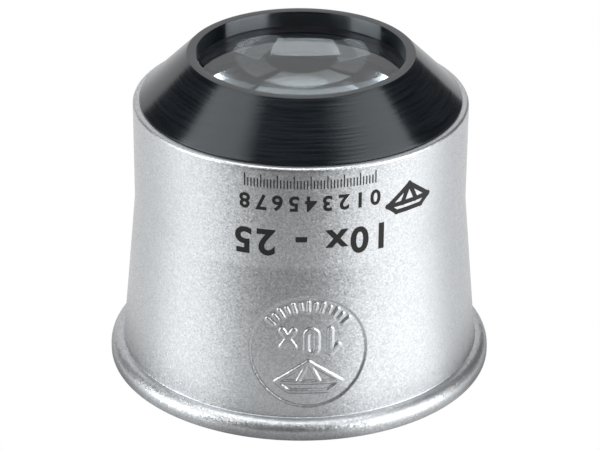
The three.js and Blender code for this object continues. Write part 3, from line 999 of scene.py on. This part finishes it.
def floor_material():
    """White to the camera. To everything else it glows with painted light: what the barrel mirrors of it is a
    painted glow, brightest towards the two side lamps and fading towards the camera's side, and a painted
    contact shadow darkens it round the rim. Under the cup it is painted dark, but for a painted spot of light
    where the lenses would throw it.
    It is clear from below, so that the underside of the loupe can be looked at."""
    s = Shader("pale_floor")
    place = s.add("NewGeometry").outputs["Position"]
    split = s.add("SeparateXYZ", {0: place})
    x, y = split.outputs[0], split.outputs[1]
    reach = s.add("VectorMath", {0: place}, operation="LENGTH").outputs["Value"]
    azimuth = s.maths("ARCTAN2", x, s.maths("MULTIPLY", y, -1.0))
    doubled = s.maths("MULTIPLY", reach, 2.0)
    mirrored = s.maths("DIVIDE", doubled, s.maths("SUBTRACT", doubled, BARREL_RADIUS * MM))
    degrees = s.maths("MULTIPLY", s.maths("MULTIPLY", azimuth, mirrored), 180 / math.pi)
    # Painted glows that the barrel mirrors: towards the side lamps, and fading towards the camera.
    right = s.maths("MULTIPLY", between(s, degrees, RIGHT_GLOW), RIGHT_GLOW_LIGHT)
    left = s.maths("MULTIPLY", between(s, degrees, LEFT_GLOW), LEFT_GLOW_LIGHT)
    thrown = s.maths("ADD", mapped(s, y, FLOOR_FADE, FLOOR_LIGHT), s.maths("ADD", right, left))
    # A painted contact shadow round the rim.
    thrown = s.maths("MULTIPLY", thrown, mapped(s, reach, PAINTED_CONTACT_SHADOW, (PAINTED_CONTACT_SHADOW_LEVEL, 1.0)))
    path = s.add("LightPath")
    strength = s.add("Mix", {"Factor": path.outputs["Is Camera Ray"], 2: thrown, 3: 1.0})
    # A painted shade under the cup, with a painted spot of light where the lenses would throw it.
    painted_lens_light = mapped(s, reach, PAINTED_LENS_SPOT, (0.0, PAINTED_LENS_SPOT_LIGHT))
    painted_cup_shade_and_lens_spot = s.maths("ADD", mapped(s, reach, PAINTED_CUP_SHADE), painted_lens_light)
    strength = s.maths("MULTIPLY", strength.outputs[0], painted_cup_shade_and_lens_spot)
    light = s.add("Emission", {"Color": (1, 1, 1, 1), "Strength": strength})
    clear = s.add("BsdfTransparent")
    side = s.add("NewGeometry").outputs["Backfacing"]
    mix = s.add("MixShader", {0: side, 1: light.outputs[0], 2: clear.outputs[0]})
    return s.surface(mix.outputs[0])


def build_floor():
    half = FLOOR_SIZE / 2
    corners = [(-half, -half, FLOOR_Z), (half, -half, FLOOR_Z), (half, half, FLOOR_Z), (-half, half, FLOOR_Z)]
    mesh = bpy.data.meshes.new("floor")
    mesh.from_pydata(corners, [], [(0, 1, 2, 3)])
    floor = bpy.data.objects.new("floor", mesh)
    bpy.context.scene.collection.objects.link(floor)
    floor.data.materials.append(floor_material())


def build_world():
    """White to the camera; to the object, a bright backdrop behind and a dim room in front and above."""
    world = bpy.data.worlds.new("studio")
    bpy.context.scene.world = world
    world.use_nodes = True
    s = Nodes(world.node_tree)
    split = s.add("SeparateXYZ", {0: s.add("TexCoord").outputs["Generated"]})
    x, y, z = split.outputs
    degrees = s.maths("MULTIPLY", s.maths("ARCTAN2", x, y), 180 / math.pi)
    backdrop = s.maths("MULTIPLY", between(s, degrees, BACKDROP), between(s, z, BACKDROP_HEIGHT))
    wings = s.maths("ADD", *(between(s, degrees, wing) for wing in WINGS))
    wings = s.maths("MULTIPLY", wings, between(s, z, WINGS_HEIGHT))
    path = s.add("LightPath")
    in_glass = s.maths("GREATER_THAN", path.outputs["Transmission Depth"], 0.5)
    for_glass = s.maths("ADD", wings, s.maths("MULTIPLY", backdrop, BACKDROP_IN_GLASS))
    for_glass = s.maths("MULTIPLY", for_glass, in_glass)
    bright = s.maths("ADD", s.maths("MULTIPLY", backdrop, BACKDROP_LIGHT), for_glass)
    thrown = s.maths("ADD", bright, ROOM_LIGHT)
    strength = s.add("Mix", {"Factor": path.outputs["Is Camera Ray"], 2: thrown, 3: 1.0})
    background = s.add("Background", {"Color": (1, 1, 1, 1), "Strength": strength.outputs[0]})
    s.add("OutputWorld", {"Surface": background.outputs[0]})


def softbox(name, azimuth, elevation, size, distance, radiance, shift=(0, 0), only=None):
    """A rectangular lamp facing the object. With `only`, it is flagged off from all other pieces."""
    a, e = math.radians(azimuth), math.radians(elevation)
    direction = Vector((math.sin(a) * math.cos(e), -math.cos(a) * math.cos(e), math.sin(e)))
    lamp = bpy.data.lights.new(name, "AREA")
    lamp.shape = "RECTANGLE"
    lamp.size, lamp.size_y = size
    lamp.energy = radiance * math.pi * lamp.size * lamp.size_y
    carrier = bpy.data.objects.new(name, lamp)
    carrier.location = direction * distance + Vector((*shift, CUP_TOP / 2 * MM))
    carrier.rotation_euler = direction.to_track_quat("Z", "Y").to_euler()
    bpy.context.scene.collection.objects.link(carrier)
    if only:
        receivers = bpy.data.collections.new(name + "_receivers")
        for piece in only:
            receivers.objects.link(piece)
        carrier.light_linking.receiver_collection = receivers


def build_lamps():
    """Two lamps on each side, one above the other, and overhead one each for the body, glass and rim."""
    softbox("softbox_right_low", RIGHT_LAMPS, LOW_LAMPS, (0.62, 0.42), SIDE_DISTANCE, radiance=4.0)
    softbox("softbox_right_high", RIGHT_LAMPS, HIGH_LAMPS, (0.62, 0.24), SIDE_DISTANCE, radiance=1.9)
    softbox("softbox_left_low", LEFT_LAMPS, LOW_LAMPS, (0.46, 0.42), SIDE_DISTANCE, radiance=3.6)
    softbox("softbox_left_high", LEFT_LAMPS, HIGH_LAMPS, (0.46, 0.24), SIDE_DISTANCE, radiance=1.9)
    softbox(
        "softbox_top", 0, OVERHEAD, (0.425, 0.184), TOP_DISTANCE, radiance=4.6,
        shift=(-0.045, 0.05), only=[cup, mount, ring, spacer],
    )
    softbox(
        "softbox_glass", 0, OVERHEAD, (0.61, 0.38), TOP_DISTANCE, radiance=6.0,
        shift=(-0.05, -0.21), only=[upper_lens, lower_lens],
    )
    softbox("softbox_rim", 0, RIM_LAMP, (0.5, 0.16), TOP_DISTANCE, radiance=1.2, only=[cup])


# The camera, in millimetres and degrees.
LOOK_AT_Z = 12.8
CAMERA_DISTANCE = 247.3
CAMERA_ELEVATION = 26.9
CAMERA_ROLL = 0.4
CAMERA_LENS = 157.8
SENSOR_WIDTH = 36.0


def build_camera():
    e = math.radians(CAMERA_ELEVATION)
    data = bpy.data.cameras.new("camera")
    data.sensor_width = SENSOR_WIDTH
    data.lens = CAMERA_LENS
    data.clip_start = 0.01
    camera = bpy.data.objects.new("camera", data)
    offset = Vector((0, -math.cos(e), math.sin(e))) * CAMERA_DISTANCE * MM
    camera.location = Vector((0, 0, LOOK_AT_Z * MM)) + offset
    facing = offset.to_track_quat("Z", "Y").to_matrix()
    roll = Matrix.Rotation(math.radians(CAMERA_ROLL), 3, "Z")
    camera.rotation_euler = (facing @ roll).to_euler()
    bpy.context.scene.collection.objects.link(camera)
    bpy.context.scene.camera = camera


build_floor()
build_world()
build_lamps()
build_camera()
bpy.context.scene.view_settings.view_transform = "Standard"
